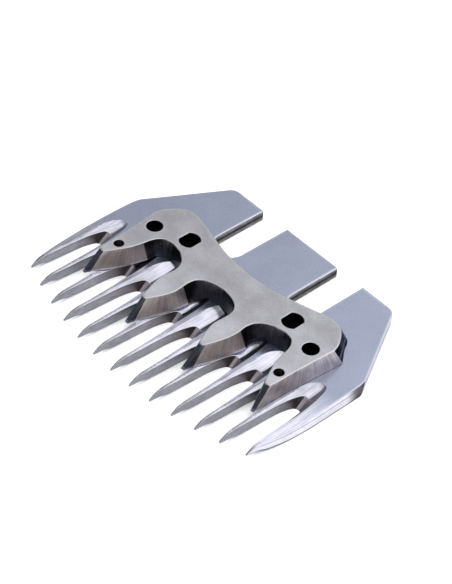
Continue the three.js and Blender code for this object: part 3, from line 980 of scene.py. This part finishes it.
comb_finishes = {
    "plate": steel("comb_plate", 0.53, 0.59, COOL, 0.24, scale=6, strength=0.12, worn=0.75,
                   polished=(0.62, 0.92, LAVENDER, True)),
    "underside": steel("comb_underside", 0.5, 0.6, COOL, 0.3, (0.2, 3, 1), strength=0.3),
    "scoop": steel("comb_scoop", 0.42, 0.74, LAVENDER, 0.13, ALONG_TEETH, 1, 0.18),
    # the scoop's short steep wall is a darker copy of the scoop's steel: painted shade
    "scoop_wall": steel("comb_scoop_wall", 0.2, 0.48, LAVENDER, 0.34, (3.5, 0.14, 1), 1.2, 0.2),
    # painted shade darkens the gap walls towards their closed ends
    "tooth_wall": wall_steel("comb_tooth_wall", 0.17, 0.32, LAVENDER, 0.36, (0.35, 9),
                             painted_shade=(0.085, 0.07, 0.064, 1)),
    "end_wall": wall_steel("comb_end_wall", 0.35, 1, PURPLE, 0.34, (3.5, 0.3), strength=0.4),
    "tip": steel("comb_tip", 0.6, 0.8, LAVENDER, 0.26),
    # painted shade on the flank's shoulder and in a dark band along its foot, and a painted darker line
    # of reflection along it
    "flank": wall_steel("comb_flank", 0.44, 0.8, LAVENDER, 0.18, (0.04, 8), painted_shade=(0.07, 0.06, 0.062, 1),
                        foot=(0.12, grey(0.1)), painted_reflection=(0.74, 0.09, grey(0.34, LAVENDER))),
    "side": wall_steel("comb_side", 0.22, 0.36, COOL, 0.35, (0.3, 6)),
    # a painted dark line of reflection along the middle of the slot's walls
    "slot": wall_steel("comb_slot", 0.04, 0.3, WARM, 0.35, (0.2, 5), glance=0.5,
                       painted_reflection=(0.5, 0.26, grey(0.008))),
    "edge": steel("comb_edge", 0.58, 0.68, LAVENDER, 0.25, strength=0.15,
                  polished=(0.66, 0.86, LAVENDER, True)),
}
cutter_finishes = {
    "face": steel("cutter_face", 0.5, 0.75, WARM, 0.36, (0.7, 1.6, 1), 4, 0.45, worn=0.74,
                  polished=(0.62, 0.86, WARM, False)),
    "underside": steel("cutter_underside", 0.5, 0.6, WARM, 0.3, (0.2, 3, 1), strength=0.3),
    "ground": wall_steel("cutter_ground", 0.42, 0.76, BROWN, 0.38, (3.4, 0.4), strength=0.5,
                         foot=(0.07, grey(0.9, WARM))),
    "outer": wall_steel("cutter_outer", 0.19, 0.56, MAUVE, 0.38, (3, 0.2), strength=0.6),
    # a painted lighter line of reflection along the corner's black walls
    "corner": wall_steel("cutter_corner", 0.008, 0.04, COOL, 0.25, (0.4, 1.5), glance=0.4,
                         painted_reflection=(0.35, 0.12, grey(0.25, COOL))),
    "facet": wall_steel("cutter_facet", 0.06, 0.14, COOL, 0.32, (3, 0.6), foot=(0.08, grey(0.3, COOL)),
                        glance=0.7),
    "black": wall_steel("cutter_black", 0.045, 0.1, LAVENDER, 0.26, (0.5, 0.3), strength=0.15),
    # near black: painted shade deep in the holes
    "hole": wall_steel("cutter_hole", 0.01, 0.03, COOL, 0.45, (0.5, 4), glance=0.5),
    # painted shade inside the blind holes, with lighter patches standing in for the light seen in them
    "pit": wall_steel("cutter_pit", 0.01, 0.3, LAVENDER, 0.3, (0.6, 1.2)),
    "edge": steel("cutter_edge", 0.55, 0.7, WARM, 0.3),
}

# ---- The pieces ----

comb_blade = make_comb(comb_finishes)
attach(comb_blade, "comb")
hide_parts("comb")

cutter_blade = make_cutter(cutter_finishes)
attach(cutter_blade, "cutter")
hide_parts("cutter")

# ---- Floor, light and camera ----

FLOOR_REACH = 3
FLOOR_WHITE, FLOOR_ROUGHNESS, FLOOR_SHINE = 0.9, 0.9, 0.1
STUDIO_WHITE = (0.97, 0.985, 1, 1)
# Each light of the studio: the way to it, then the degrees from its middle where it begins and
# ends to fade, and its strength outside and inside.
SOFTBOX_WAY, SOFTBOX = (0.45, 0.45, 0.77), (20, 70, 0, 0.95)
WALLS_WAY, WALLS = (-0.4, 0.8, 0.45), (30, 150, 0.34, 0.4)
LAMP_SIZE, LAMP_POWER = 2, 24
LAMP_PLACE = (0.2, 0.2, 1.2)

CAMERA_AZIMUTH = math.radians(44.63)
CAMERA_ELEVATION = math.radians(43.54)
CAMERA_ROLL = math.radians(4.98)
CAMERA_DISTANCE = 431.62
CAMERA_TARGET = (-1.51, 36.32, COMB_THICK)
CAMERA_CLIP = (0.01, 20)  # metres
LENS = 113.21


def make_floor():
    mesh = bpy.data.meshes.new("floor")
    reach = FLOOR_REACH
    corners = [(-reach, -reach, 0), (reach, -reach, 0), (reach, reach, 0), (-reach, reach, 0)]
    mesh.from_pydata(corners, [], [(0, 1, 2, 3)])
    floor = bpy.data.objects.new("floor", mesh)
    bpy.context.scene.collection.objects.link(floor)
    material = bpy.data.materials.new("floor_paper")
    material.use_nodes = True
    shader = material.node_tree.nodes["Principled BSDF"]
    shader.inputs["Base Color"].default_value = grey(FLOOR_WHITE)
    shader.inputs["Roughness"].default_value = FLOOR_ROUGHNESS
    shader.inputs["Specular IOR Level"].default_value = FLOOR_SHINE
    mesh.materials.append(material)


def light_world():
    """A soft studio: a bright softbox overhead and behind, and grey walls all round."""
    world = bpy.data.worlds.new("studio")
    bpy.context.scene.world = world
    world.use_nodes = True
    tree = world.node_tree
    nodes, links = tree.nodes, tree.links
    background = nodes["Background"]
    way = nodes.new("ShaderNodeTexCoord").outputs["Generated"]

    def lobe(direction, start, end, low, high):
        """low outside a cone about a direction, rising to high inside it."""
        unit = Vector(direction).normalized()
        dot = nodes.new("ShaderNodeVectorMath")
        dot.operation = "DOT_PRODUCT"
        links.new(way, dot.inputs[0])
        dot.inputs[1].default_value = unit
        rise = nodes.new("ShaderNodeMapRange")
        rise.interpolation_type = "SMOOTHSTEP"
        links.new(dot.outputs["Value"], rise.inputs["Value"])
        rise.inputs["From Min"].default_value = math.cos(math.radians(end))
        rise.inputs["From Max"].default_value = math.cos(math.radians(start))
        rise.inputs["To Min"].default_value = low
        rise.inputs["To Max"].default_value = high
        return rise.outputs["Result"]

    total = nodes.new("ShaderNodeMath")
    total.operation = "ADD"
    links.new(lobe(SOFTBOX_WAY, *SOFTBOX), total.inputs[0])
    links.new(lobe(WALLS_WAY, *WALLS), total.inputs[1])
    links.new(total.outputs["Value"], background.inputs["Strength"])
    background.inputs["Color"].default_value = STUDIO_WHITE


def make_camera():
    """The photograph's camera, which looks at a point of the comb's top face."""
    data = bpy.data.cameras.new("camera")
    data.lens = LENS
    data.clip_start, data.clip_end = CAMERA_CLIP
    camera = bpy.data.objects.new("camera", data)
    bpy.context.scene.collection.objects.link(camera)
    a, e, r = CAMERA_AZIMUTH, CAMERA_ELEVATION, CAMERA_ROLL
    back = Vector((math.sin(a) * math.cos(e), -math.cos(a) * math.cos(e), math.sin(e)))
    right = Vector((math.cos(a), math.sin(a), 0))
    up = back.cross(right)
    rolled_right = right * math.cos(r) + up * math.sin(r)
    rolled_up = up * math.cos(r) - right * math.sin(r)
    target = (Vector(CAMERA_TARGET) - Vector((0, ORIGIN_Y, 0))) / MM
    place = target + back * CAMERA_DISTANCE / MM
    turn = Matrix((rolled_right, rolled_up, back)).transposed().to_4x4()
    camera.matrix_world = Matrix.Translation(place) @ turn
    bpy.context.scene.camera = camera


def light_floor():
    """A wide lamp that whitens the floor and leaves the steel's reflections to the studio."""
    data = bpy.data.lights.new("floor_lamp", "AREA")
    data.size = LAMP_SIZE
    data.energy = LAMP_POWER
    lamp = bpy.data.objects.new("floor_lamp", data)
    lamp.location = LAMP_PLACE
    lamp.visible_glossy = False
    bpy.context.scene.collection.objects.link(lamp)


make_floor()
light_world()
light_floor()
make_camera()
bpy.context.scene.view_settings.view_transform = "Standard"
